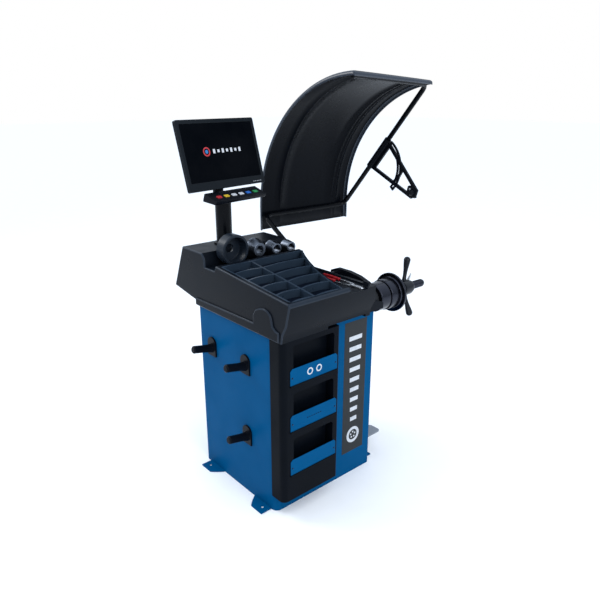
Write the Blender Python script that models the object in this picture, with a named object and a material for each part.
"""Wheel balancer with a raised guard, built piece by piece.

Frame: metres, +Z up, the origin on the floor under the middle of the cabinet.  +X is the way the
shaft points, -Y is the front where the operator stands.  Every size that can be set by itself is a
named value below, and what fits to it is worked out from it.
"""

import math

import bmesh
import bpy
from mathutils import Matrix, Vector

# --- fits ------------------------------------------------------------------------------------
GAP = 0.0003            # between pieces that touch
RUN = 0.0005            # between pieces that turn or slide in each other
FACET = 0.0012          # between a bar and the faceted inside of a curve

# --- cabinet ---------------------------------------------------------------------------------
CAB_W = 0.570
CAB_D = 0.532
CAB_TOP = 0.812
SHEET = 0.002
CAB_CORNER = 0.030
BASE_T = 0.006
TAB_REACH = 0.055
TAB_LENGTH = 0.115
TAB_CHAMFER = 0.022
TAB_INSET = 0.032
ANCHOR_R = 0.007
DECK_T = 0.004
DECK_DROP = 0.058       # deck below the cabinet's top edge

# --- rear service panel, inlet and switch ------------------------------------------------------
REAR_OPEN_W = 0.340
REAR_OPEN_H = 0.480
REAR_OPEN_Z = 0.170
REAR_PANEL_LAP = 0.020
INLET_W = 0.048
INLET_H = 0.028
SOCKET_X = 0.090
SOCKET_Z = 0.250
SWITCH_W = 0.022
SWITCH_H = 0.032
MODULE_DEPTH = 0.030
MODULE_LAP = 0.006

# --- front bin panel ---------------------------------------------------------------------------
PANEL_PROUD = 0.060
PANEL_RIGHT = 0.012
PANEL_BOTTOM = 0.080
PANEL_WALL = 0.003
PANEL_SIDE = 0.0055
PANEL_WRAP = 0.018
PANEL_CORNER = 0.026
BIN_LEFT = -0.235
BIN_RIGHT = -0.017
BIN_DEPTH = 0.045
BIN_COUNT = 3
BIN_PITCH = 0.2045
BIN_FIRST_Z = 0.213
BIN_HEIGHT = 0.156
PLATE_LAP = 0.017
PLATE_H = 0.071
PLATE_DROP = 0.010
PLATE_T = 0.002
LEDGE_H = 0.007

# --- top cover ---------------------------------------------------------------------------------
COVER_WALL = 0.004
COVER_LEFT = -CAB_W / 2 - 0.010
COVER_BOTTOM = 0.800
COVER_RIM_RIGHT = 0.157   # right wall at the block's top
COVER_SHELF_RIGHT = 0.168 # right wall at the shelf
COVER_WALL_RIGHT = 0.190  # right wall above the lip
SHELF_Z = 0.948           # level shelf right of the tray
SHELF_FRONT = -CAB_D / 2 - 0.080
RIM_RIGHT = 0.128         # right end of the front rim
RAIL_WALL = 0.005
COVER_LEAN = 0.050      # front face leans out from skirt to rim
RIM_FRONT_Z = 0.970
RIM_REAR_Z = 1.012
RIM_REAR_Y = CAB_D / 2 - 0.162
TROUGH_Z = 0.990
TROUGH_REAR_Y = CAB_D / 2 - 0.076
BLOCK_TOP = 1.048
BLOCK_REAR_Y = CAB_D / 2 + 0.101
BULGE_Y = CAB_D / 2 + 0.188
BULGE_Z = 0.850
LIP_REACH = CAB_W / 2 + 0.015
LIP_Z = 0.827
LIP_TOP = 0.870

# --- weight tray -------------------------------------------------------------------------------
TRAY_DEPTH = 0.036
TRAY_FLOOR = 0.003
TRAY_MARGIN = 0.016
TRAY_RIB = 0.009
TRAY_ROWS = 5
TRAY_BOW = 0.010
DIVIDER_FRONT = -0.159
DIVIDER_REAR = -0.124
RAIL_FRONT = -0.014     # curved rail between the right pockets and the shelf
RAIL_LEAN = 0.050
RAIL_CURVE = 0.135
DISH_DEPTH = 0.006      # the shelf's shallow dish
DISH_MARGIN = 0.010
DISH_REAR = 0.040
NOTCH_LEFT = 0.020
NOTCH_RIGHT = 0.120

# --- spindle -----------------------------------------------------------------------------------
SHAFT_Y = -CAB_D / 2 + 0.060
SHAFT_Z = 0.815
SHAFT_R = 0.019
SHAFT_LEFT = -0.100
HOUSING_R = 0.046
HOUSING_LEFT = -0.030
HOUSING_RIGHT = CAB_W / 2 + 0.045
BEARING_R = 0.034
BEARING_W = 0.018
NOSE_R = 0.066
NOSE_END = HOUSING_RIGHT + 0.064
FLANGE_BODY_R = 0.071
FLANGE_R = 0.092
FLANGE_FACE = NOSE_END + 0.074
FLANGE_T = 0.012
SHAFT_END = FLANGE_FACE + 0.224

# --- drive -------------------------------------------------------------------------------------
PULLEY_LARGE_R = 0.050
PULLEY_SMALL_R = 0.020
PULLEY_W = 0.018
BELT_T = 0.003
MOTOR_R = 0.048
MOTOR_L = 0.120
MOTOR_Z = 0.630

# --- quick nut ---------------------------------------------------------------------------------
NUT_X = FLANGE_FACE + 0.042
NUT_L = 0.094
NUT_R = 0.036
HANDLE_REACH = 0.145
HANDLE_SWEEP = 0.037
HANDLE_ROLL = math.radians(-7.0)
HANDLE_ROOT_R = 0.009
HANDLE_KNOB_R = 0.0165

# --- guard -------------------------------------------------------------------------------------
GUARD_R_LEFT = 0.660
GUARD_R_RIGHT = 0.637
GUARD_CENTRE_Y = -0.121
GUARD_CENTRE_Z = 1.120
GUARD_LEFT = 0.265
GUARD_W = 0.603
GUARD_T = 0.004
GUARD_FLANGE = 0.022
GUARD_SKIRT = 0.105
GUARD_SWEEP_LEFT = math.radians(90.0)
GUARD_SWEEP_RIGHT = math.radians(84.0)
TUBE_R = 0.0125
TUBE_BEND = 0.045
PIVOT_Y = CAB_D / 2 - 0.032
PIVOT_Z = 0.915
PIVOT_END_X = 0.050
ARM_X = 0.283

# --- width gauge -------------------------------------------------------------------------------
SLEEVE_LOW = 0.300      # along the chord from its lower end
SLEEVE_L = 0.190
SLEEVE_WALL = 0.0055
GAUGE_T = 0.012
GAUGE_BAR = 0.017
GAUGE_TIP_Y = -0.008
GAUGE_TIP_Z = 1.205

# --- monitor and keypad ------------------------------------------------------------------------
POST_X = -0.110
POST_Y = CAB_D / 2 + 0.039
POST_R = 0.036
POST_TOP = 1.240
POST_FLANGE_R = 0.048
SWIVEL = math.radians(9.5)
SCREEN_TILT = math.radians(14.6)
SCREEN_W = 0.446
SCREEN_H = 0.293
SCREEN_T = 0.042
SCREEN_EDGE_T = 0.017
SCREEN_SHIFT = -0.012
BEZEL = 0.017
TILT_BARREL_R = 0.0095
SCREEN_BOTTOM = 1.290
KEYPAD_W = 0.300
KEYPAD_D = 0.080
KEYPAD_Z = 1.288
KEYPAD_SLOPE = math.radians(20.0)
KEY_W = 0.026
KEY_D = 0.017
KEY_H = 0.005
KEY_TRAVEL = 0.0015
KEY_COLOURS = {
    "key_red": (0.55, 0.02, 0.03),
    "key_yellow": (0.75, 0.50, 0.03),
    "key_white_left": (0.75, 0.76, 0.78),
    "key_white_right": (0.75, 0.76, 0.78),
    "key_blue": (0.02, 0.12, 0.50),
    "key_green": (0.02, 0.35, 0.16),
}

# --- pegs, cones, pliers, distance gauge, pedal --------------------------------------------------
PEG_PLACES = {"peg_rear": (0.168, 0.630), "peg_front_upper": (-0.081, 0.631),
              "peg_front_lower": (-0.079, 0.297)}
PEG_R = 0.017
PEG_REACH = 0.105
PEG_TILT = math.radians(11.0)
PEG_FLANGE_W = 0.060
PEG_FLANGE_H = 0.088
PEG_FLANGE_T = 0.008
CONES = {"cone_small": (0.030, 0.046, 0.138), "cone_medium": (0.035, 0.050, 0.052),
         "cone_large": (0.047, 0.052, -0.045)}
CONE_BORE_R = 0.0195
CUP_R = 0.067
CUP_L = 0.060
CUP_WALL = 0.011
CUP_X = -0.175
PLIERS_X = 0.104
PLIERS_FRONT = -CAB_D / 2 - 0.100
PLIERS_REAR = PLIERS_FRONT + 0.254
PLIERS_T = 0.008
GAUGE_ROD_R = 0.008
GAUGE_ROD_Y = -0.075
GAUGE_ROD_Z = 0.927
GAUGE_ARM_X = 0.214
GAUGE_ARM_T = 0.022
GAUGE_ARM_TIP_Y = -0.284
PEDAL_PIVOT_X = 0.120
PEDAL_Y = -0.160
PEDAL_Z = 0.070
PEDAL_END = CAB_W / 2 + 0.165
PEDAL_PLATE_L = 0.125
PEDAL_PLATE_W = 0.072
PEDAL_BAR_W = 0.022
PEDAL_BAR_T = 0.010

# --- worked out from the sizes above -------------------------------------------------------------
CAB_X = CAB_W / 2
CAB_Y = CAB_D / 2
DECK_Z = CAB_TOP - DECK_DROP
PANEL_FACE = -CAB_Y - PANEL_PROUD
RIM_FRONT_Y = PANEL_FACE - COVER_LEAN
GUARD_RIGHT = GUARD_LEFT + GUARD_W
CHORD_X = GUARD_RIGHT - GUARD_T - TUBE_R - 0.006
RIM_SLOPE = math.atan2(RIM_REAR_Z - RIM_FRONT_Z, RIM_REAR_Y - RIM_FRONT_Y)
TRAY_HALF = (RIM_REAR_Y - RIM_FRONT_Y) / 2 / math.cos(RIM_SLOPE)
TRAY_LEFT = COVER_LEFT + TRAY_MARGIN
TRAY_FRONT = -TRAY_HALF + TRAY_MARGIN
TRAY_REAR = TRAY_HALF - TRAY_MARGIN * 0.8
FINE = 32
COARSE = 20


def tray_share(along):
    """Return how far back a place on the tray is, from 0 at the rim's front to 1 at its rear."""
    return (along + TRAY_HALF) / (2 * TRAY_HALF)


def divider_x(along):
    """Return the middle of the rib between the two columns of pockets."""
    return DIVIDER_FRONT + (DIVIDER_REAR - DIVIDER_FRONT) * tray_share(along)


def rail_x(along):
    """Return the middle of the curved rail along the tray's right side."""
    share = tray_share(along)
    return RAIL_FRONT + RAIL_LEAN * share + RAIL_CURVE * share ** 2


def guard_radius(x):
    """Return the guard's outer radius at a distance along the shaft's direction."""
    return GUARD_R_LEFT + (GUARD_R_RIGHT - GUARD_R_LEFT) * (x - GUARD_LEFT) / GUARD_W


def guard_sweep(x):
    """Return the guard's sweep at a distance along the shaft's direction."""
    return GUARD_SWEEP_LEFT + (GUARD_SWEEP_RIGHT - GUARD_SWEEP_LEFT) * (x - GUARD_LEFT) / GUARD_W


def bar_low(x):
    """Return the (y, z) of the guard's bar where it leaves the straight skirt."""
    return (GUARD_CENTRE_Y + guard_radius(x) - GUARD_T - TUBE_R - FACET, GUARD_CENTRE_Z - 0.028)


def bar_high(x):
    """Return the (y, z) of the guard's bar below its upper lip."""
    rest = guard_radius(x) - GUARD_T - TUBE_R - FACET
    angle = guard_sweep(x) - (TUBE_R + GUARD_T + 0.002) / rest
    return (GUARD_CENTRE_Y + rest * math.cos(angle), GUARD_CENTRE_Z + rest * math.sin(angle))

MATERIALS = {
    "blue_paint": ((0.004, 0.100, 0.330), 0.38, 0.0),
    "black_plastic": ((0.022, 0.024, 0.028), 0.48, 0.0),
    "black_paint": ((0.010, 0.010, 0.012), 0.32, 0.0),
    "satin_black": ((0.016, 0.017, 0.019), 0.30, 0.0),
    "dark_steel": ((0.060, 0.062, 0.066), 0.34, 0.8),
    "bright_steel": ((0.62, 0.63, 0.65), 0.24, 1.0),
    "cast_iron": ((0.10, 0.10, 0.11), 0.60, 0.6),
    "aluminium": ((0.55, 0.56, 0.58), 0.34, 1.0),
    "rubber": ((0.012, 0.012, 0.012), 0.75, 0.0),
    "screen_glass": ((0.004, 0.004, 0.006), 0.08, 0.0),
    "circuit_green": ((0.01, 0.12, 0.05), 0.50, 0.0),
    "red_grip": ((0.60, 0.015, 0.02), 0.42, 0.0),
    "pale_paint": ((0.62, 0.63, 0.62), 0.45, 0.0),
}


# --- helpers -------------------------------------------------------------------------------------
def material(name, colour, roughness, metallic):
    """Return the named material, made once."""
    found = bpy.data.materials.get(name)
    if found:
        return found
    made = bpy.data.materials.new(name)
    made.use_nodes = True
    shader = made.node_tree.nodes["Principled BSDF"]
    shader.inputs["Base Color"].default_value = (*colour, 1.0)
    shader.inputs["Roughness"].default_value = roughness
    shader.inputs["Metallic"].default_value = metallic
    made.diffuse_color = (*colour, 1.0)
    return made


def add_object(name, mesh_maker, finish=None, parent=None):
    """Link an object made from a bmesh, with its faces turned outward."""
    bmesh.ops.recalc_face_normals(mesh_maker, faces=mesh_maker.faces)
    mesh = bpy.data.meshes.new(name)
    mesh_maker.to_mesh(mesh)
    mesh_maker.free()
    made = bpy.data.objects.new(name, mesh)
    bpy.context.collection.objects.link(made)
    if finish:
        mesh.materials.append(material(finish, *MATERIALS[finish]))
    if parent:
        made.parent = parent
    return made


def smooth(thing, angle=35.0):
    """Shade round faces smooth and keep the sharp edges."""
    thing.data.shade_smooth()
    thing.data.set_sharp_from_angle(angle=math.radians(angle))
    return thing


def pivot(name, place, turn=(0.0, 0.0, 0.0), parent=None):
    """Return an empty that stands on a joint's axis."""
    made = bpy.data.objects.new(name, None)
    made.location = place
    made.rotation_euler = turn
    bpy.context.collection.objects.link(made)
    if parent:
        made.parent = parent
    return made


def outline_point(plane, across, up, along):
    """Return the 3-D point of an outline's (across, up) in a plane, at a distance along its normal."""
    if plane == "yz":
        return (along, across, up)
    if plane == "xz":
        return (across, along, up)
    return (across, up, along)


def loft(name, first, last, plane, start, end, finish=None, parent=None):
    """Join two closed outlines with as many points, one at each distance along the plane's normal."""
    work = bmesh.new()
    low = [work.verts.new(outline_point(plane, a, b, start)) for a, b in first]
    high = [work.verts.new(outline_point(plane, a, b, end)) for a, b in last]
    work.faces.new(low)
    work.faces.new(high[::-1])
    for index in range(len(first)):
        after = (index + 1) % len(first)
        work.faces.new((low[index], high[index], high[after], low[after]))
    return add_object(name, work, finish, parent)


def prism(name, outline, plane, start, end, finish=None, parent=None):
    """Extrude a closed outline from start to end along its plane's normal."""
    return loft(name, outline, outline, plane, start, end, finish, parent)


def ring_prism(name, outer, inner, plane, start, end, finish=None, parent=None):
    """Extrude the wall between two outlines that have the same number of points."""
    work = bmesh.new()
    loops = []
    for outline, along in ((outer, start), (outer, end), (inner, end), (inner, start)):
        loops.append([work.verts.new(outline_point(plane, a, b, along)) for a, b in outline])
    for lane in range(4):
        near, far = loops[lane], loops[(lane + 1) % 4]
        for index in range(len(outer)):
            after = (index + 1) % len(outer)
            work.faces.new((near[index], near[after], far[after], far[index]))
    return add_object(name, work, finish, parent)


def box(name, low, high, finish=None, parent=None):
    """Return a box between two corners."""
    outline = [(low[0], low[1]), (high[0], low[1]), (high[0], high[1]), (low[0], high[1])]
    return prism(name, outline, "xy", low[2], high[2], finish, parent)


def turned(name, profile, axis, centre, finish=None, segments=FINE, closed=False, parent=None):
    """Turn a profile of (radius, distance) about an axis through a centre.

    An open profile starts and ends on the axis.  A closed one is a ring's section.
    """
    work = bmesh.new()
    turn = Vector((0, 0, 1)).rotation_difference(Vector(axis)).to_matrix()
    rings = []
    for radius, along in profile:
        if radius < 1e-7:
            rings.append([work.verts.new(turn @ Vector((0, 0, along)) + Vector(centre))])
            continue
        ring = []
        for step in range(segments):
            angle = math.tau * step / segments
            local = Vector((radius * math.cos(angle), radius * math.sin(angle), along))
            ring.append(work.verts.new(turn @ local + Vector(centre)))
        rings.append(ring)
    pairs = list(zip(rings, rings[1:]))
    if closed:
        pairs.append((rings[-1], rings[0]))
    for near, far in pairs:
        for step in range(segments):
            after = (step + 1) % segments
            if len(near) == 1:
                work.faces.new((near[0], far[step], far[after]))
            elif len(far) == 1:
                work.faces.new((near[step], near[after], far[0]))
            else:
                work.faces.new((near[step], near[after], far[after], far[step]))
    return smooth(add_object(name, work, finish, parent))


def rod(name, centre, axis, radius, start, end, finish=None, segments=FINE, parent=None):
    """Return a round bar along an axis."""
    profile = [(0, start), (radius, start), (radius, end), (0, end)]
    return turned(name, profile, axis, centre, finish, segments, parent=parent)


def guide(thing):
    """Keep a cutter out of the model."""
    thing.hide_render = True
    thing.display_type = "WIRE"
    return thing


def boolean(target, other, operation):
    """Cut or join with another shape, which stays a guide."""
    guide(other)
    change = target.modifiers.new(other.name, "BOOLEAN")
    change.object = other
    change.operation = operation
    change.solver = "EXACT"
    return target


def cut(target, other):
    """Take the other shape away from the target."""
    return boolean(target, other, "DIFFERENCE")


def fuse(target, other):
    """Join the other shape to the target."""
    return boolean(target, other, "UNION")


def inset(outline, distance):
    """Return an outline moved inward by a distance, corner by corner (outline runs counter-clockwise)."""
    moved = []
    for index, corner in enumerate(outline):
        here = Vector(corner)
        before = (here - Vector(outline[index - 1])).normalized()
        after = (Vector(outline[(index + 1) % len(outline)]) - here).normalized()
        normal_before = Vector((-before.y, before.x))
        normal_after = Vector((-after.y, after.x))
        bisector = (normal_before + normal_after).normalized()
        moved.append(tuple(here + bisector * distance / max(bisector.dot(normal_after), 0.2)))
    return moved


def rounded_box(low, high, radii, steps=5):
    """Return a counter-clockwise rectangle with its own radius on each corner, from low-low round."""
    corners = [(low[0], low[1], 180), (high[0], low[1], 270), (high[0], high[1], 0), (low[0], high[1], 90)]
    outline = []
    for (across, up, start), radius in zip(corners, radii):
        centre = (across + (radius if across == low[0] else -radius),
                  up + (radius if up == low[1] else -radius))
        for step in range(steps + 1):
            angle = math.radians(start + 90 * step / steps)
            outline.append((centre[0] + radius * math.cos(angle), centre[1] + radius * math.sin(angle)))
    return outline


def arc(centre, radius, start, end, steps):
    """Return points on a circle's arc, angles in radians."""
    return [
        (centre[0] + radius * math.cos(start + (end - start) * step / steps),
         centre[1] + radius * math.sin(start + (end - start) * step / steps))
        for step in range(steps + 1)
    ]


def bent_path(corners, radius, steps=6):
    """Return the points of a path with its corners rounded to a bend radius."""
    path = [Vector(corners[0])]
    for before, corner, after in zip(corners, corners[1:], corners[2:]):
        here = Vector(corner)
        come = (here - Vector(before)).normalized()
        leave = (Vector(after) - here).normalized()
        half = come.angle(leave) / 2
        reach = radius * math.tan(half)
        start = here - come * reach
        normal = (leave - come).normalized()
        centre = here + normal * radius / math.cos(half)
        arm = start - centre
        axis = come.cross(leave).normalized()
        for step in range(steps + 1):
            path.append(centre + Matrix.Rotation(2 * half * step / steps, 3, axis) @ arm)
    path.append(Vector(corners[-1]))
    return path


def tube(name, points, radius, finish):
    """Return a round bar that follows a path, as a curve with filled ends."""
    curve = bpy.data.curves.new(name, "CURVE")
    curve.dimensions = "3D"
    curve.bevel_depth = radius
    curve.bevel_resolution = 3
    curve.use_fill_caps = True
    spline = curve.splines.new("POLY")
    spline.points.add(len(points) - 1)
    for point, place in zip(spline.points, points):
        point.co = (*place, 1.0)
    curve.materials.append(material(finish, *MATERIALS[finish]))
    made = bpy.data.objects.new(name, curve)
    bpy.context.collection.objects.link(made)
    return made


# --- cabinet -------------------------------------------------------------------------------------
def build_cabinet():
    """Base plate with anchor tabs, sheet cabinet, deck, rear panel with inlet and switch."""
    plate = rounded_box((-CAB_X, -CAB_Y), (CAB_X, CAB_Y), (CAB_CORNER, 0.006, 0.006, 0.006))
    base = prism("base_plate", plate, "xy", 0, BASE_T, "blue_paint")
    reach = CAB_X + TAB_REACH
    for side in (-1, 1):
        for end, inward in ((-1, 1), (1, -1)):
            near = end * (CAB_Y - TAB_INSET)
            far = near + inward * TAB_LENGTH
            tip_far = near + inward * (TAB_LENGTH - 2 * TAB_CHAMFER)
            outline = [(side * CAB_X * 0.9, near), (side * reach, near), (side * reach, tip_far),
                       (side * (reach - TAB_CHAMFER), tip_far + inward * TAB_CHAMFER),
                       (side * (CAB_X + 0.004), far), (side * CAB_X * 0.9, far)]
            fuse(base, prism(f"tab_{side}_{end}", outline, "xy", 0, BASE_T))
            centre = (side * (CAB_X + TAB_REACH * 0.45), near + inward * TAB_LENGTH * 0.27, 0)
            cut(base, rod(f"anchor_{side}_{end}", centre, (0, 0, 1), ANCHOR_R, -0.01, 0.02, segments=12))

    low = BASE_T + GAP
    shell = ring_prism("cabinet_shell", plate, inset(plate, SHEET), "xy", low, CAB_TOP, "blue_paint")
    cut(shell, box("rear_opening", (-REAR_OPEN_W / 2, CAB_Y - 0.02, REAR_OPEN_Z),
                   (REAR_OPEN_W / 2, CAB_Y + 0.02, REAR_OPEN_Z + REAR_OPEN_H)))
    cut(shell, box("spindle_slot", (CAB_X - 0.02, SHAFT_Y - HOUSING_R - 0.006, SHAFT_Z - HOUSING_R - 0.006),
                   (CAB_X + 0.02, SHAFT_Y + HOUSING_R + 0.006, CAB_TOP + 0.02)))
    slot = PEDAL_BAR_W / 2 + 0.008
    cut(shell, box("pedal_slot", (CAB_X - 0.02, PEDAL_Y - slot, 0.020),
                   (CAB_X + 0.02, PEDAL_Y + slot, PEDAL_Z + 0.030)))

    inner = inset(plate, SHEET + GAP)
    deck = prism("deck_plate", inner, "xy", DECK_Z, DECK_Z + DECK_T, "dark_steel")
    half = BELT_T + PULLEY_LARGE_R + 0.006
    cut(deck, box("belt_slot", (SHAFT_LEFT - 0.004, SHAFT_Y - min(half, CAB_Y + SHAFT_Y - 0.010),
                                DECK_Z - 0.02),
                  (SHAFT_LEFT + PULLEY_W + 0.016, SHAFT_Y + half, DECK_Z + 0.02)))

    lap = REAR_PANEL_LAP
    face = CAB_Y + GAP
    panel = box("rear_panel", (-REAR_OPEN_W / 2 - lap, face, REAR_OPEN_Z - lap),
                (REAR_OPEN_W / 2 + lap, face + SHEET, REAR_OPEN_Z + REAR_OPEN_H + lap), "blue_paint")
    outside = face + SHEET + GAP
    half = INLET_W / 2
    low = SOCKET_Z - INLET_H / 2
    high = SOCKET_Z + INLET_H / 2 + SWITCH_H
    cut(panel, box("module_hole", (SOCKET_X - half - RUN, face - 0.02, low - RUN),
                   (SOCKET_X + half + RUN, face + 0.02, high + RUN)))
    module = box("power_inlet", (SOCKET_X - half, CAB_Y - MODULE_DEPTH, low),
                 (SOCKET_X + half, outside + 0.001, high), "satin_black")
    fuse(module, box("module_flange", (SOCKET_X - half - MODULE_LAP, outside, low - MODULE_LAP),
                     (SOCKET_X + half + MODULE_LAP, outside + 0.003, high + MODULE_LAP)))
    cut(module, box("inlet_mouth", (SOCKET_X - half + 0.011, outside - 0.017, low + 0.004),
                    (SOCKET_X + half - 0.011, outside + 0.02, low + INLET_H - 0.004)))
    rocker_z = high - SWITCH_H / 2
    tall = SWITCH_H / 2 - 0.006
    wide = SWITCH_W / 2
    cut(module, box("switch_window", (SOCKET_X - wide - RUN, outside - 0.020, rocker_z - tall - 0.0025),
                    (SOCKET_X + wide + RUN, outside + 0.02, rocker_z + tall + 0.0025)))
    axle = pivot("switch_axle", (SOCKET_X, outside - 0.004, rocker_z))
    outline = [(-0.011, -tall * 0.5), (0.009, -tall), (0.006, 0), (0.012, tall), (-0.011, tall * 0.5)]
    prism("switch_rocker", outline, "yz", -wide, wide, "rubber", axle)


def build_bin_panel():
    """Moulded front panel with three storage bins, and the plate across the front of each."""
    top = COVER_BOTTOM - GAP
    left = -CAB_X - PANEL_SIDE
    back = -CAB_Y - GAP
    outline = rounded_box((left, PANEL_FACE), (PANEL_RIGHT, back), (PANEL_CORNER, 0.006, 0, 0))
    panel = prism("front_bin_panel", outline, "xy", PANEL_BOTTOM, top, "black_plastic")
    cut(panel, box("panel_hollow", (left + PANEL_WALL, PANEL_FACE + PANEL_WALL + 0.020,
                                    PANEL_BOTTOM + PANEL_WALL),
                   (PANEL_RIGHT - PANEL_WALL, back + 0.05, top - PANEL_WALL)))
    inner_y = PANEL_FACE + BIN_DEPTH
    fuse(panel, box("side_wrap", (left, back - 0.004, PANEL_BOTTOM), (-CAB_X - GAP, back + PANEL_WRAP, top)))
    wall = PANEL_WALL
    for number in range(BIN_COUNT):
        low = BIN_FIRST_Z + number * BIN_PITCH
        high = low + BIN_HEIGHT
        fuse(panel, box(f"bin_wall_{number}", (BIN_LEFT - wall, PANEL_FACE + 0.010, low - wall),
                        (BIN_RIGHT + wall, inner_y + wall, high + wall)))
        plate_low = low - PLATE_DROP
        ledge_low = plate_low - GAP - LEDGE_H
        fuse(panel, box(f"ledge_{number}", (BIN_LEFT - PLATE_LAP, PANEL_FACE - 0.005, ledge_low),
                        (BIN_RIGHT + PLATE_LAP, PANEL_FACE + 0.002, plate_low - GAP)))
    for number, name in enumerate(("bin_plate_lower", "bin_plate_middle", "bin_plate_upper")):
        low = BIN_FIRST_Z + number * BIN_PITCH
        hollow = rounded_box((BIN_LEFT, low), (BIN_RIGHT, low + BIN_HEIGHT), (0.012,) * 4, 3)
        cut(panel, prism(f"bin_hollow_{number}", hollow, "xz", PANEL_FACE - 0.05, inner_y))
        plate_low = low - PLATE_DROP
        box(name, (BIN_LEFT - PLATE_LAP, PANEL_FACE - GAP - PLATE_T, plate_low),
            (BIN_RIGHT + PLATE_LAP, PANEL_FACE - GAP, plate_low + PLATE_H), "blue_paint")


def build_pegs():
    """Accessory pegs on the left side: an arched flange and a round peg in one piece."""
    face = -CAB_X - GAP
    half = PEG_FLANGE_W / 2
    foot = -PEG_FLANGE_H / 2
    for name, (y, z) in PEG_PLACES.items():
        arch = [(y - half, z + foot),
                (y + half, z + foot)] + arc((y, z + foot + PEG_FLANGE_H - half), half, 0, math.pi, 10)
        peg = prism(name, arch, "yz", face - PEG_FLANGE_T, face, "black_plastic")
        profile = [(0, 0.0075), (PEG_R * 1.25, 0.0075), (PEG_R * 1.05, 0.026), (PEG_R, 0.045),
                   (PEG_R, PEG_REACH - 0.005),
                   (PEG_R - 0.005, PEG_REACH), (0, PEG_REACH)]
        lean = (-math.cos(PEG_TILT), 0, math.sin(PEG_TILT))
        fuse(peg, turned(name + "_bar", profile, lean, (face, y, z - 0.009), segments=COARSE))


# --- top cover and tray ----------------------------------------------------------------------------
def cover_side(lower):
    """Return the cover's side outline, counter-clockwise seen from +X, from the front skirt."""
    skirt_rear = CAB_Y + COVER_WALL + 0.002
    return [
        (PANEL_FACE, lower),
        (skirt_rear, lower),
        (skirt_rear + 0.002, BULGE_Z - 0.030),
        (BULGE_Y, BULGE_Z),
        (BLOCK_REAR_Y, BLOCK_TOP),
        (TROUGH_REAR_Y + 0.018, BLOCK_TOP),
        (TROUGH_REAR_Y, BLOCK_TOP - 0.022),
        (TROUGH_REAR_Y - 0.003, TROUGH_Z),
        (RIM_REAR_Y + 0.010, TROUGH_Z),
        (RIM_REAR_Y, RIM_REAR_Z),
        (RIM_FRONT_Y + 0.006, RIM_FRONT_Z),
        (RIM_FRONT_Y, RIM_FRONT_Z - 0.010),
        (RIM_FRONT_Y + 0.022, RIM_FRONT_Z - 0.095),
        (PANEL_FACE - 0.006, lower + 0.035),
    ]


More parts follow.
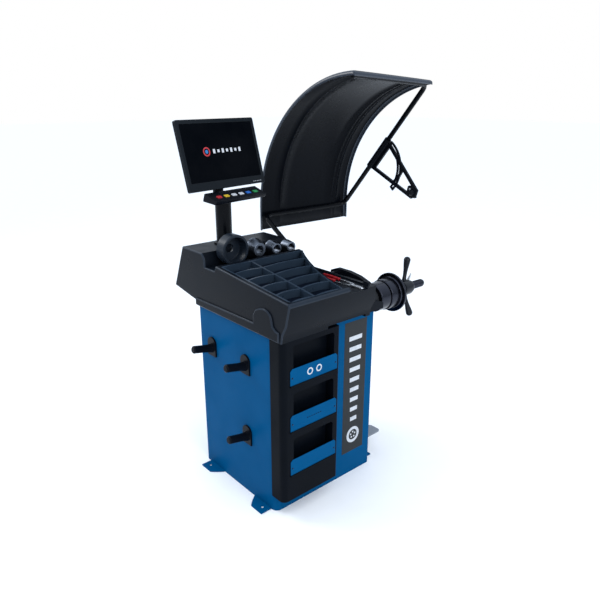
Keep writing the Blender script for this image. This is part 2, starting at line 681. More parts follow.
def build_cover():
    """Moulded top cover: leaning front, rim, cone trough, rear block and the low lip on the right."""
    side = cover_side(COVER_BOTTOM)
    far = COVER_WALL_RIGHT + 0.05
    cover = prism("top_cover", side, "yz", COVER_LEFT, COVER_WALL_RIGHT, "black_plastic")
    lean = [(COVER_RIM_RIGHT, BLOCK_TOP + 0.05), (far, BLOCK_TOP + 0.05), (far, LIP_TOP),
            (COVER_WALL_RIGHT, LIP_TOP),
            (COVER_SHELF_RIGHT, SHELF_Z)]
    cut(cover, prism("right_draft", lean, "xz", -1, 1))
    middle = (0, (RIM_FRONT_Y + RIM_REAR_Y) / 2, (RIM_FRONT_Z + RIM_REAR_Z) / 2)
    seat = pivot("tray_seat", middle, (RIM_SLOPE, 0, 0))

    lip_front = PANEL_FACE + 0.022
    lip_rear = CAB_Y + COVER_WALL + 0.002
    lip = [(COVER_WALL_RIGHT - 0.03, COVER_BOTTOM), (LIP_REACH, COVER_BOTTOM), (LIP_REACH, LIP_Z),
           (COVER_WALL_RIGHT - 0.002, LIP_TOP), (COVER_WALL_RIGHT - 0.03, LIP_TOP)]
    fuse(cover, prism("right_lip", lip, "xz", lip_front, lip_rear))

    under = COVER_BOTTOM - 0.05
    hollow = inset(side, COVER_WALL)
    hollow[0] = (hollow[0][0], under)
    hollow[1] = (hollow[1][0], under)
    cut(cover, prism("cover_hollow", hollow, "yz", COVER_LEFT + COVER_WALL, RAIL_FRONT - 0.016))
    rail = shelf_rail(SHELF_FRONT, RIM_REAR_Y - 0.001)
    shelf = [(RIM_RIGHT, SHELF_FRONT), (RIM_RIGHT, RIM_FRONT_Y - 0.05), (far, RIM_FRONT_Y - 0.05),
             (far, RIM_REAR_Y - 0.001)] + rail[::-1]
    cut(cover, prism("shelf_space", shelf, "xy", SHELF_Z, BLOCK_TOP + 0.05))
    rail = shelf_rail(SHELF_FRONT + DISH_MARGIN, DISH_REAR)
    dish = [(x + DISH_MARGIN, y) for x, y in rail[::-1]]
    dish += [(COVER_SHELF_RIGHT - DISH_MARGIN * 1.6, SHELF_FRONT + DISH_MARGIN),
             (COVER_SHELF_RIGHT - DISH_MARGIN * 1.6, DISH_REAR)]
    cut(cover, prism("pliers_dish", dish, "xy", SHELF_Z - DISH_DEPTH, BLOCK_TOP))
    ceiling = SHELF_Z - DISH_DEPTH - COVER_WALL
    brow, chin, foot = (Vector(hollow[place]) for place in (-3, -2, -1))
    under_brow = chin.lerp(brow, (ceiling - chin.y) / (brow.y - chin.y))
    front_room = [(foot.x, under), (RIM_REAR_Y, under), (RIM_REAR_Y, ceiling), tuple(under_brow),
                  tuple(chin), tuple(foot)]
    cut(cover, prism("shelf_hollow", front_room, "yz", RAIL_FRONT - 0.040, COVER_SHELF_RIGHT - 0.005))
    rear = [(RIM_REAR_Y + 0.012, under)] + hollow[1:9]
    cut(cover, prism("rear_hollow", rear, "yz", RAIL_FRONT - 0.040, COVER_RIM_RIGHT - COVER_WALL))
    room = [(0.10, under), (LIP_REACH - COVER_WALL, under), (LIP_REACH - COVER_WALL, LIP_Z - COVER_WALL),
            (COVER_WALL_RIGHT - 0.012, LIP_TOP - COVER_WALL), (0.10, LIP_TOP - COVER_WALL)]
    cut(cover, prism("lip_hollow", room, "xz", lip_front + COVER_WALL, lip_rear - COVER_WALL))
    cut(cover, rod("spindle_way", (0, SHAFT_Y, SHAFT_Z), (1, 0, 0), HOUSING_R + 0.004, 0.10, 0.40,
                   segments=24))
    cut(cover, rod("guard_way", (0, PIVOT_Y, PIVOT_Z), (1, 0, 0), TUBE_R + 0.003, 0.12, 0.40, segments=16))
    cut(cover, rod("gauge_way", (0, GAUGE_ROD_Y, GAUGE_ROD_Z), (1, 0, 0), GAUGE_ROD_R + RUN, 0.12, 0.40,
                   segments=16))
    build_tray(cover, seat)


def shelf_rail(front, rear, steps=10):
    """Return the foot of the rail's right side, from front to rear, as (x, y) on the level shelf."""
    middle = (RIM_FRONT_Y + RIM_REAR_Y) / 2
    places = [front + (rear - front) * step / steps for step in range(steps + 1)]
    return [(rail_x((y - middle) / math.cos(RIM_SLOPE)) + TRAY_RIB / 2 + RAIL_WALL, y) for y in places]


def tray_edge(margin, steps=10):
    """Return the tray's outline, whose right side is the curved rail, moved inward by a margin."""
    left = rounded_box((TRAY_LEFT, TRAY_FRONT), (TRAY_LEFT + 0.060, TRAY_REAR), (0.020, 0, 0, 0.012))
    corners = [point for point in left if point[0] < TRAY_LEFT + 0.030]
    lower = [point for point in corners if point[1] < 0]
    upper = [point for point in corners if point[1] > 0]
    places = [TRAY_FRONT + (TRAY_REAR - TRAY_FRONT) * step / steps for step in range(steps + 1)]
    return inset(lower + [(rail_x(y) + TRAY_RIB / 2, y) for y in places] + upper, margin)


def bowed_pocket(front, rear, left, right, steps=6):
    """Return a pocket's outline: its front and rear bow backwards, its sides follow two functions."""
    def bow(share):
        return TRAY_BOW * (4 * share * (1 - share) - 0.5)

    shares = [step / steps for step in range(steps + 1)]
    outline = [(left(front) + (right(front) - left(front)) * share, front + bow(share)) for share in shares]
    outline += [(left(rear) + (right(rear) - left(rear)) * share,
                 rear + bow(share)) for share in reversed(shares)]
    return outline


def build_tray(cover, seat):
    """Weight tray with two columns of bowed pockets and a dish for the pliers, set in the rim's slope."""
    cut(cover, prism("tray_window", tray_edge(0.0), "xy", -TRAY_DEPTH - 0.03, 0.05, parent=seat))
    tray = prism("weight_tray", tray_edge(GAP * 2), "xy", -TRAY_DEPTH, -0.0008, "black_plastic", seat)
    half_rib = TRAY_RIB / 2
    sides = ((lambda y: TRAY_LEFT + TRAY_RIB, lambda y: divider_x(y) - half_rib),
             (lambda y: divider_x(y) + half_rib, lambda y: rail_x(y) - half_rib))
    depth = (TRAY_REAR - TRAY_FRONT - TRAY_RIB) / TRAY_ROWS
    for column, (left, right) in enumerate(sides):
        for row in range(TRAY_ROWS):
            front = TRAY_FRONT + TRAY_RIB + row * depth
            pocket = bowed_pocket(front, front + depth - TRAY_RIB, left, right)
            cut(tray, prism(f"pocket_{column}_{row}", pocket, "xy", -TRAY_DEPTH + TRAY_FLOOR, 0.01,
                            parent=seat))
    cut(cover, box("rim_notch", (NOTCH_LEFT, RIM_FRONT_Y - 0.05, SHELF_Z - DISH_DEPTH),
                   (NOTCH_RIGHT, SHELF_FRONT + DISH_MARGIN + 0.001, BLOCK_TOP)))


# --- spindle and drive -------------------------------------------------------------------------------
def build_spindle():
    """Cast housing on the deck, two bearings, the shaft with its flange, pulleys, belt and motor."""
    axis = (1, 0, 0)
    centre = (0, SHAFT_Y, SHAFT_Z)
    seat_r = BEARING_R + GAP
    housing = rod("spindle_housing", centre, axis, HOUSING_R, HOUSING_LEFT, HOUSING_RIGHT, "cast_iron")
    foot = [(SHAFT_Y - 0.036, DECK_Z + DECK_T + GAP), (SHAFT_Y + 0.070, DECK_Z + DECK_T + GAP),
            (SHAFT_Y + 0.070, DECK_Z + DECK_T + 0.014), (SHAFT_Y + 0.030, DECK_Z + DECK_T + 0.020),
            (SHAFT_Y + 0.030, SHAFT_Z), (SHAFT_Y - 0.030, SHAFT_Z),
            (SHAFT_Y - 0.036, DECK_Z + DECK_T + 0.014)]
    fuse(housing, prism("housing_foot", foot, "yz", HOUSING_LEFT + 0.006, 0.270))
    bore = [(0, HOUSING_LEFT - 0.01), (seat_r, HOUSING_LEFT - 0.01),
            (seat_r, HOUSING_LEFT + BEARING_W + GAP), (SHAFT_R + 0.008, HOUSING_LEFT + BEARING_W + GAP),
            (SHAFT_R + 0.008, HOUSING_RIGHT - BEARING_W - GAP), (seat_r, HOUSING_RIGHT - BEARING_W - GAP),
            (seat_r, HOUSING_RIGHT + 0.01), (0, HOUSING_RIGHT + 0.01)]
    cut(housing, turned("housing_bore", bore, axis, centre))
    for name, start in (("bearing_inner", HOUSING_LEFT), ("bearing_outer", HOUSING_RIGHT - BEARING_W)):
        ring = [(SHAFT_R + GAP, start), (BEARING_R, start), (BEARING_R, start + BEARING_W),
                (SHAFT_R + GAP, start + BEARING_W)]
        turned(name, ring, axis, centre, "bright_steel", closed=True)
    nose = [(SHAFT_R + 0.004, HOUSING_RIGHT + GAP), (NOSE_R - 0.004, HOUSING_RIGHT + GAP),
            (NOSE_R, HOUSING_RIGHT + 0.004),
            (NOSE_R, NOSE_END - 0.003), (NOSE_R - 0.003, NOSE_END), (SHAFT_R + 0.004, NOSE_END)]
    turned("spindle_nose", nose, axis, centre, "black_paint", closed=True)

    spin = pivot("shaft_axis", centre)
    shaft = [(0, SHAFT_LEFT), (SHAFT_R - 0.002, SHAFT_LEFT), (SHAFT_R, SHAFT_LEFT + 0.002),
             (SHAFT_R, SHAFT_END - 0.012),
             (SHAFT_R - 0.004, SHAFT_END - 0.003), (SHAFT_R - 0.010, SHAFT_END), (0, SHAFT_END)]
    turned("main_shaft", shaft, axis, (0, 0, 0), "dark_steel", parent=spin)
    bore_r = SHAFT_R + GAP
    start = NOSE_END + 0.002
    flange = [(bore_r, start), (FLANGE_BODY_R - 0.003, start), (FLANGE_BODY_R, start + 0.003),
              (FLANGE_BODY_R, FLANGE_FACE - FLANGE_T - 0.004),
              (FLANGE_BODY_R + 0.004, FLANGE_FACE - FLANGE_T), (FLANGE_R, FLANGE_FACE - FLANGE_T),
              (FLANGE_R, FLANGE_FACE - 0.002), (FLANGE_R - 0.002, FLANGE_FACE), (bore_r, FLANGE_FACE)]
    turned("wheel_flange", flange, axis, (0, 0, 0), "black_paint", closed=True, parent=spin)
    first = SHAFT_LEFT + 0.006
    pulley_ring = [(bore_r, first), (PULLEY_LARGE_R, first), (PULLEY_LARGE_R, first + PULLEY_W),
                   (bore_r, first + PULLEY_W)]
    turned("shaft_pulley", pulley_ring, axis, (0, 0, 0), "aluminium", closed=True, parent=spin)
    disc = [(bore_r, first + PULLEY_W + 0.012), (HOUSING_R + 0.002, first + PULLEY_W + 0.012),
            (HOUSING_R + 0.002, first + PULLEY_W + 0.014), (bore_r, first + PULLEY_W + 0.014)]
    turned("encoder_disc", disc, axis, (0, 0, 0), "bright_steel", closed=True, parent=spin)

    motor_centre = (0, SHAFT_Y, MOTOR_Z)
    motor_left = first + PULLEY_W + 0.010
    motor = rod("drive_motor", motor_centre, axis, MOTOR_R, motor_left, motor_left + MOTOR_L, "aluminium", 24)
    post = DECK_Z - GAP
    fuse(motor, box("motor_mount", (motor_left + 0.015, SHAFT_Y + 0.002, MOTOR_Z),
                    (motor_left + MOTOR_L - 0.015, SHAFT_Y + 0.030, post)))
    fuse(motor, box("motor_pad", (motor_left + 0.015, SHAFT_Y - 0.012, post - 0.006),
                    (motor_left + MOTOR_L - 0.015, SHAFT_Y + 0.075, post)))
    turning = pivot("motor_axis", motor_centre)
    small = [(0, first), (PULLEY_SMALL_R, first), (PULLEY_SMALL_R, first + PULLEY_W),
             (0.007, first + PULLEY_W),
             (0.007, motor_left - GAP), (0, motor_left - GAP)]
    turned("motor_pulley", small, axis, (0, 0, 0), "aluminium", COARSE, parent=turning)

    inner = belt_loop(PULLEY_LARGE_R + RUN, PULLEY_SMALL_R + RUN)
    outer = belt_loop(PULLEY_LARGE_R + RUN + BELT_T, PULLEY_SMALL_R + RUN + BELT_T)
    ring_prism("drive_belt", outer, inner, "yz", first + 0.002, first + PULLEY_W - 0.002, "rubber")


def belt_loop(large, small):
    """Return the loop round both pulleys, tangent to each."""
    lean = math.asin((large - small) / (SHAFT_Z - MOTOR_Z))
    return (arc((SHAFT_Y, SHAFT_Z), large, -lean, math.pi + lean, 16)
            + arc((SHAFT_Y, MOTOR_Z), small, math.pi + lean, math.tau - lean, 12))


def build_nut():
    """Quick nut on the shaft: hub, two swept handles with round knobs, and the release lever."""
    seat = pivot("nut_axis", (NUT_X, SHAFT_Y, SHAFT_Z))
    bore = SHAFT_R + RUN
    groove = NUT_L * 0.22
    hub = [(bore, 0), (NUT_R - 0.004, 0), (NUT_R, 0.004), (NUT_R, groove),
           (NUT_R - 0.003, groove + 0.002), (NUT_R - 0.003, groove + 0.006), (NUT_R, groove + 0.008),
           (NUT_R, NUT_L - 0.020), (NUT_R - 0.008, NUT_L), (bore, NUT_L)]
    nut = turned("quick_nut", hub, (1, 0, 0), (0, 0, 0), "black_plastic", closed=True, parent=seat)
    root = NUT_L * 0.50
    for name, side in (("nut_handle_upper", 1), ("nut_handle_lower", -1)):
        start = Vector((root, 0, side * (NUT_R - 0.010)))
        tip = Vector((root + HANDLE_SWEEP, 0, side * HANDLE_REACH))
        roll = Matrix.Rotation(HANDLE_ROLL, 3, "X")
        start, tip = roll @ start, roll @ tip
        length = (tip - start).length
        profile = [(0, 0), (HANDLE_ROOT_R, 0), (HANDLE_ROOT_R, 0.006), (HANDLE_ROOT_R + 0.002, 0.012),
                   (HANDLE_ROOT_R, 0.030),
                   (HANDLE_ROOT_R + 0.001, length * 0.45), (HANDLE_KNOB_R - 0.002, length * 0.72)]
        knob = arc((length - HANDLE_KNOB_R, 0), HANDLE_KNOB_R, math.radians(105), 0, 6)
        profile += [(across, along) for along, across in knob[:-1]] + [(0, length)]
        turned(name, profile, tip - start, start, "black_plastic", COARSE, parent=seat)
        socket = [(0, -0.0004), (HANDLE_ROOT_R + 0.0004, -0.0004), (HANDLE_ROOT_R + 0.0004, 0.005),
                  (HANDLE_ROOT_R + 0.004, 0.012),
                  (HANDLE_ROOT_R + 0.004, 0.04), (0, 0.04)]
        cut(nut, turned(name + "_socket", socket, tip - start, start, parent=seat, segments=COARSE))
    hinge = Vector((NUT_L - 0.016, 0, NUT_R - 0.004))
    wide = 0.0045
    cut(nut, box("lever_slot", (hinge.x - 0.010, -wide - 0.001, NUT_R - 0.013),
                 (hinge.x + 0.03, wide + 0.001, NUT_R + 0.02), parent=seat))
    axle = pivot("lever_axis", hinge, parent=seat)
    lever = [(-0.0045, -0.007), (0.0045, -0.007), (0.006, 0.004), (0.016, 0.030), (0.010, 0.034),
             (-0.004, 0.006)]
    prism("release_lever", lever, "xz", -wide, wide, "bright_steel", axle)


# --- guard ---------------------------------------------------------------------------------------------
def guard_band(outer, inner, end, skirt):
    """Return the section of a curved band with a straight skirt below its rear end."""
    centre = (GUARD_CENTRE_Y, GUARD_CENTRE_Z)
    over = arc(centre, outer, 0, end, 20)
    under = arc(centre, inner, end, 0, 20)
    foot = GUARD_CENTRE_Z - skirt
    return [(GUARD_CENTRE_Y + inner, foot), (GUARD_CENTRE_Y + outer, foot)] + over + under


def build_guard():
    """Moulded guard with folded edges on one bent tube that turns in a bracket behind the deck."""
    swing = pivot("guard_axis", (0, PIVOT_Y, PIVOT_Z))
    back = Vector((0, -PIVOT_Y, -PIVOT_Z))
    ends = (GUARD_LEFT, GUARD_RIGHT)
    deep = [guard_band(guard_radius(x), guard_radius(x) - GUARD_FLANGE, guard_sweep(x),
                       GUARD_SKIRT) for x in ends]
    shell = loft("guard_shell", *deep, "yz", *ends, "black_plastic")
    inside = (GUARD_LEFT + GUARD_T, GUARD_RIGHT - GUARD_T)
    room = []
    for x in inside:
        lip = GUARD_T / guard_radius(x)
        room.append(guard_band(guard_radius(x) - GUARD_T, guard_radius(x) - GUARD_FLANGE - 0.02,
                               guard_sweep(x) - lip, GUARD_SKIRT + 0.02))
    hollow = loft("guard_hollow", *room, "yz", *inside)
    cut(shell, hollow)
    lip_x = GUARD_LEFT + GUARD_T + 0.010
    path = [(PIVOT_END_X, PIVOT_Y, PIVOT_Z), (ARM_X, PIVOT_Y, PIVOT_Z), (ARM_X, *bar_low(ARM_X)),
            (CHORD_X, *bar_low(CHORD_X)), (CHORD_X, *bar_high(CHORD_X)), (lip_x, *bar_high(lip_x))]
    frame = tube("guard_tube", [point + back for point in bent_path(path, TUBE_BEND)], TUBE_R, "black_paint")
    frame.parent = swing
    for part in (shell, hollow):
        part.data.transform(Matrix.Translation(back))
        part.parent = swing

    floor = DECK_Z + DECK_T + GAP
    deep_half = min(0.026, CAB_Y - PIVOT_Y - SHEET - 0.001)
    bracket = box("guard_bracket", (0.070, PIVOT_Y - deep_half - 0.020, floor),
                  (0.150, PIVOT_Y + deep_half, PIVOT_Z + 0.030), "dark_steel")
    cut(bracket, rod("pivot_bore", (0, PIVOT_Y, PIVOT_Z), (1, 0, 0), TUBE_R + RUN, 0.0, 0.25))
    cut(bracket, box("bracket_gap", (0.085, PIVOT_Y - 0.1, floor + 0.010),
                     (0.135, PIVOT_Y + 0.1, PIVOT_Z + 0.06)))
    build_width_gauge(bar_low(CHORD_X), bar_high(CHORD_X))


def build_width_gauge(low, high):
    """Sleeve that turns on the guard's straight tube, with a flat bracket and its measuring head."""
    start = Vector((0, *low))
    along = (Vector((0, *high)) - start).normalized()
    origin = start + along * SLEEVE_LOW + Vector((CHORD_X, 0, 0))
    swing = pivot("width_gauge_axis", origin)
    outer = TUBE_R + RUN + SLEEVE_WALL
    section = [(TUBE_R + RUN, 0), (outer, 0), (outer, SLEEVE_L), (TUBE_R + RUN, SLEEVE_L)]
    turned("width_gauge_sleeve", section, along, (0, 0, 0), "satin_black", COARSE, closed=True, parent=swing)

    across = Vector((0, -along.z, along.y))
    tip = Vector((0, GAUGE_TIP_Y, GAUGE_TIP_Z)) - Vector((0, origin.y, origin.z))
    edge = outer + GAP
    foot = across * -edge if across.dot(tip) < 0 else across * edge
    near = foot + along * 0.004
    far = foot + along * (SLEEVE_L - 0.004)
    outline = [(p.y, p.z) for p in (near, tip + along * -0.030, tip + foot.normalized() * 0.012,
                                    tip + along * 0.030, far)]
    area = sum(a[0] * b[1] - b[0] * a[1] for a, b in zip(outline, outline[1:] + outline[:1]))
    if area < 0:
        outline.reverse()
    bracket = prism("width_gauge_bracket", outline, "yz", -GAUGE_T / 2, GAUGE_T / 2, "satin_black", swing)
    window = inset(outline, GAUGE_BAR)
    cut(bracket, prism("bracket_window", window, "yz", -0.02, 0.02, parent=swing))
    middle = (near + far) / 2 * 0.5 + tip * 0.5
    lean = (far - near).normalized()
    strut = [middle - lean * 0.09 + foot.normalized() * -0.005,
             middle - lean * 0.09 + foot.normalized() * 0.008,
             middle + foot.normalized() * 0.020, middle + lean * 0.09 + foot.normalized() * 0.008,
             middle + lean * 0.09 + foot.normalized() * -0.005, middle + foot.normalized() * 0.006]
    web = prism("bracket_web", [(p.y, p.z) for p in strut], "yz", -GAUGE_T / 2 + 0.001, GAUGE_T / 2 - 0.001,
                parent=swing)
    trim = prism("bracket_outline", inset(outline, 0.004), "yz", -0.02, 0.02, parent=swing)
    guide(trim)
    keep = web.modifiers.new("trim", "BOOLEAN")
    keep.operation = "INTERSECT"
    keep.object = trim
    keep.solver = "EXACT"
    fuse(bracket, web)
    side = GAUGE_T / 2
    head = tip - foot.normalized() * 0.016
    knob = [(0, -side), (0.017, -side), (0.017, side + 0.010), (0.010, side + 0.022), (0, side + 0.022)]
    fuse(bracket, turned("measuring_head", knob, (-1, 0, 0), head, segments=COARSE, parent=swing))


# --- monitor and keypad ----------------------------------------------------------------------------------
def build_monitor():
    """Post, swivel head, tilting monitor, and the keypad below it with six keys."""
    floor = BLOCK_TOP + GAP
    post = [(0, floor), (POST_FLANGE_R, floor), (POST_FLANGE_R, floor + 0.006),
            (POST_R + 0.003, floor + 0.009), (POST_R, floor + 0.014),
            (POST_R, POST_TOP - 0.002), (POST_R - 0.002, POST_TOP), (0, POST_TOP)]
    turned("monitor_post", post, (0, 0, 1), (POST_X, POST_Y, 0), "black_paint")
    head = pivot("monitor_swivel", (POST_X, POST_Y, POST_TOP), (0, 0, SWIVEL))

    bracket = box("monitor_bracket", (-0.040, -0.034, GAP), (0.040, 0.040, 0.018), "satin_black", head)
    stem_top = SCREEN_BOTTOM - POST_TOP + 0.110
    stem_front = 0.020
    fuse(bracket, box("bracket_stem", (-0.025, stem_front, 0.010), (0.025, stem_front + 0.016, stem_top),
                      parent=head))
    hinge_z = stem_top - 0.020
    tilt = pivot("monitor_tilt", (0, stem_front - TILT_BARREL_R - RUN, hinge_z), (-SCREEN_TILT, 0, 0), head)
    drop = SCREEN_BOTTOM - POST_TOP - hinge_z
    front = -0.052
    half = SCREEN_W / 2
    back = front + SCREEN_T
    left = SCREEN_SHIFT - half
    right = SCREEN_SHIFT + half
    outline = rounded_box((left, drop), (right, drop + SCREEN_H), (0.008,) * 4, 3)
    case = prism("monitor_housing", outline, "xz", front, front + SCREEN_EDGE_T, "satin_black", tilt)
    bulge = rounded_box((left + 0.040, drop + 0.035), (right - 0.040, drop + SCREEN_H - 0.035),
                        (0.020,) * 4, 3)
    middle = ((left + right) / 2, drop + SCREEN_H / 2)
    smaller = [(middle[0] + (x - middle[0]) * 0.88, middle[1] + (z - middle[1]) * 0.84) for x, z in bulge]
    fuse(case, loft("rear_bulge", bulge, smaller, "xz", front + SCREEN_EDGE_T - 0.002, back, parent=tilt))
    fuse(case, box("hinge_pad", (-0.030, back - 0.004, -0.024), (0.030, -0.002, 0.024), parent=tilt))
    fuse(case, rod("hinge_barrel", (0, 0, 0), (1, 0, 0), TILT_BARREL_R, -0.030, 0.030, segments=COARSE,
                   parent=tilt))
    glass_low = drop + BEZEL + 0.018
    glass_high = drop + SCREEN_H - BEZEL
    cut(case, box("screen_seat", (left + BEZEL, front - 0.02, glass_low),
                  (right - BEZEL, front + 0.004, glass_high), parent=tilt))
    box("monitor_screen", (left + BEZEL + GAP, front + 0.0015, glass_low + GAP),
        (right - BEZEL - GAP, front + 0.004 - GAP, glass_high - GAP),
        "screen_glass", tilt)

    keypad = pivot("keypad_slope", (0, -0.048, KEYPAD_Z - POST_TOP), (KEYPAD_SLOPE, 0, 0), head)
    wide = KEYPAD_W / 2
    side = [(-KEYPAD_D, -0.004), (-KEYPAD_D + 0.004, -0.012), (-0.004, -0.030), (0, -0.026), (0, 0.004),
            (-0.003, 0.007), (-KEYPAD_D, 0.007)]
    pad = prism("keypad_housing", side, "yz", -wide, wide, "black_plastic", keypad)
    count = len(KEY_COLOURS)
    pitch = (KEYPAD_W - 0.040) / count
    for number, (name, colour) in enumerate(KEY_COLOURS.items()):
        x = -wide + 0.020 + pitch * (number + 0.5)
        y = -KEYPAD_D * 0.60
        floor = 0.007 - KEY_H
        cut(pad, box(name + "_well", (x - KEY_W / 2 - RUN, y - KEY_D / 2 - RUN, floor - KEY_TRAVEL),
                     (x + KEY_W / 2 + RUN, y + KEY_D / 2 + RUN, 0.03),
                     parent=keypad))
        travel = pivot(name + "_travel", (x, y, floor + GAP), parent=keypad)
        cap = rounded_box((-KEY_W / 2, -KEY_D / 2), (KEY_W / 2, KEY_D / 2), (0.003,) * 4, 2)
        key = prism(name, cap, "xy", 0, KEY_H + 0.002, parent=travel)
        key.data.materials.append(material(name, colour, 0.45, 0.0))


# --- loose tools and levers --------------------------------------------------------------------------------
def build_cones():
    """Centring cones and the pressure cup, standing on edge in the trough behind the tray."""
    trough_mid = (RIM_REAR_Y + 0.010 + TROUGH_REAR_Y - 0.003) / 2
    for name, (radius, length, x) in CONES.items():
        place = pivot(name + "_lift", (x, trough_mid + length / 2, TROUGH_Z + radius + GAP))
        small = max(CONE_BORE_R + 0.006, radius * 0.66)
        bore = min(CONE_BORE_R, radius - 0.012)
        section = [(bore, 0), (radius - 0.001, 0), (radius, 0.001), (radius, length * 0.25),
                   (small, length - 0.001), (small - 0.001, length),
                   (bore, length)]
        turned(name, section, (0, -1, 0), (0, 0, 0), "dark_steel", closed=True, parent=place)
    place = pivot("cup_lift", (CUP_X, trough_mid + CUP_L / 2, TROUGH_Z + CUP_R + GAP))
    cup = [(CONE_BORE_R, 0), (CUP_R - 0.010, 0), (CUP_R, 0.008), (CUP_R, CUP_L - 0.002),
           (CUP_R - 0.002, CUP_L), (CUP_R - CUP_WALL, CUP_L),
           (CUP_R - CUP_WALL - 0.004, CUP_WALL), (CONE_BORE_R, CUP_WALL)]
    turned("pressure_cup", cup, (0, -1, 0), (0, 0, 0), "satin_black", closed=True, parent=place)


def build_pliers():
    """Wheel-weight pliers lying in the dish: two crossed halves with grips, on one rivet."""
    length = PLIERS_REAR - PLIERS_FRONT
    rivet_y = PLIERS_FRONT + length * 0.26
    lift = pivot("pliers_lift", (PLIERS_X, rivet_y, SHELF_Z - DISH_DEPTH + GAP))
    step = PLIERS_T / 2
    head = length * 0.26
    handle = length * 0.74
    for name, side, floor in (("pliers_half_lower", 1, 0.0), ("pliers_half_upper", -1, step + GAP)):
        outline = [(side * 0.0035, -head), (side * 0.012, -head + 0.004), (side * 0.014, -head * 0.4),
                   (side * 0.012, 0.0), (-side * 0.008, 0.022), (-side * 0.012, handle * 0.45),
                   (-side * 0.018, handle * 0.46), (-side * 0.014, 0.016), (-side * 0.011, -0.002),
                   (side * 0.0030, -0.016)]
        half = prism(name, outline, "xy", floor, floor + step, "bright_steel", lift)
        if side == 1:
            fuse(half, rod("rivet", (0, 0, 0), (0, 0, 1), 0.0048, step * 0.5, 2 * step + 0.002, segments=16,
                           parent=lift))
        else:
            cut(half, rod("rivet_hole", (0, 0, 0), (0, 0, 1), 0.0048 + RUN, -0.01, 0.03, segments=16,
                          parent=lift))
        grip_start = handle * 0.46 + GAP
        x0, x1 = -side * 0.008, -side * 0.021
        grip = [(x0, grip_start), (x1, grip_start), (-side * 0.024, handle * 0.80), (-side * 0.019, handle),
                (-side * 0.010, handle),
                (-side * 0.012, handle * 0.80)]
        prism(name.replace("half", "grip"), grip, "xy", 0.0, 2 * step + 0.002, "red_grip", lift)


def build_distance_gauge():
    """Rod that slides out of the cover's right wall, and the arm that swings on its end."""
    slide = pivot("gauge_slide", (0, GAUGE_ROD_Y, GAUGE_ROD_Z))
    rod("gauge_rod", (0, 0, 0), (1, 0, 0), GAUGE_ROD_R, -0.060, GAUGE_ARM_X + GAUGE_ARM_T + 0.004,
        "bright_steel", COARSE, slide)
    swing = pivot("gauge_swing", (GAUGE_ARM_X, 0, 0), parent=slide)
    tip = GAUGE_ARM_TIP_Y - GAUGE_ROD_Y
    outline = [(0.020, -0.010), (0.016, 0.012), (-0.020, 0.026), (tip * 0.45, 0.026), (tip * 0.75, 0.017),
               (tip, 0.000), (tip - 0.004, -0.012),
               (tip * 0.75, -0.008), (tip * 0.35, 0.000), (0, -0.016), (0.012, -0.018)]
    arm = prism("gauge_arm", outline[::-1], "yz", 0, GAUGE_ARM_T, "black_plastic", swing)
    cut(arm, rod("arm_bore", (0, 0, 0), (1, 0, 0), GAUGE_ROD_R + RUN, -0.02, 0.05, segments=COARSE,
                 parent=swing))


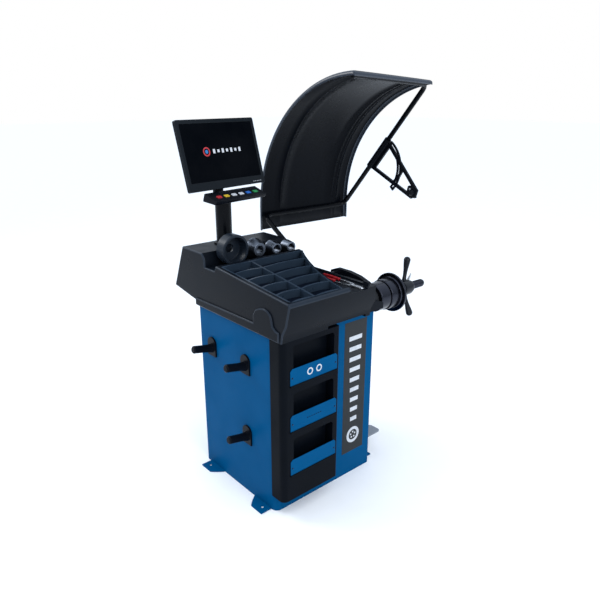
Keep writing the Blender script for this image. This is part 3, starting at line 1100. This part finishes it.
def build_pedal():
    """Brake pedal: bar through the cabinet's side, foot plate outside, pivot bracket on the base."""
    axle = pivot("pedal_axis", (PEDAL_PIVOT_X, PEDAL_Y, PEDAL_Z))
    end = PEDAL_END - PEDAL_PIVOT_X
    half = PEDAL_BAR_W / 2
    bar = [(-0.030, -0.010), (0.010, -0.012), (end - PEDAL_PLATE_L, -PEDAL_BAR_T / 2),
           (end - 0.010, -PEDAL_BAR_T / 2), (end - 0.010, PEDAL_BAR_T / 2 - 0.001),
           (end - PEDAL_PLATE_L, PEDAL_BAR_T / 2), (0.010, 0.012), (-0.030, 0.010)]
    pedal = prism("brake_pedal", bar, "xz", -half, half, "pale_paint", axle)
    plate = rounded_box((end - PEDAL_PLATE_L, -PEDAL_PLATE_W / 2), (end, PEDAL_PLATE_W / 2),
                        (0.006, 0.016, 0.016, 0.006), 4)
    fuse(pedal, prism("foot_plate", plate, "xy", PEDAL_BAR_T / 2 - 0.003, PEDAL_BAR_T / 2 + 0.003,
                      parent=axle))
    cut(pedal, rod("pedal_bore", (0, 0, 0), (0, 1, 0), 0.006 + RUN, -0.05, 0.05, segments=COARSE,
                   parent=axle))
    floor = BASE_T + GAP
    bracket = box("pedal_bracket", (PEDAL_PIVOT_X - 0.035, PEDAL_Y - half - 0.012, floor),
                  (PEDAL_PIVOT_X + 0.025, PEDAL_Y + half + 0.012, PEDAL_Z + 0.016), "dark_steel")
    cut(bracket, box("pedal_room", (PEDAL_PIVOT_X - 0.06, PEDAL_Y - half - 0.001, floor + 0.006),
                     (PEDAL_PIVOT_X + 0.06, PEDAL_Y + half + 0.001, PEDAL_Z + 0.05)))
    fuse(bracket, rod("pedal_pin", (PEDAL_PIVOT_X, PEDAL_Y, PEDAL_Z), (0, 1, 0), 0.006, -half - 0.006,
                      half + 0.006, segments=COARSE))


def build_electronics():
    """Power unit on the base plate and the control board on the cabinet's left wall."""
    floor = BASE_T + GAP
    box("power_unit", (-0.200, 0.060, floor), (-0.040, 0.200, floor + 0.085), "aluminium")
    wall = -CAB_X + SHEET + GAP
    board = box("control_board", (wall + 0.014, -0.110, 0.420), (wall + 0.0156, 0.090, 0.600),
                "circuit_green")
    for y in (-0.100, 0.080):
        for z in (0.430, 0.590):
            fuse(board, rod(f"standoff_{y}_{z}", (wall, y, z), (1, 0, 0), 0.004, 0, 0.0150, segments=12))
    fuse(board, box("board_heat_sink", (wall + 0.015, -0.060, 0.450), (wall + 0.040, 0.020, 0.500)))


def main():
    """Empty the scene and build the machine."""
    for leftover in list(bpy.data.objects):
        bpy.data.objects.remove(leftover, do_unlink=True)
    build_cabinet()
    build_bin_panel()
    build_pegs()
    build_cover()
    build_spindle()
    build_nut()
    build_guard()
    build_monitor()
    build_cones()
    build_pliers()
    build_distance_gauge()
    build_pedal()
    build_electronics()


main()
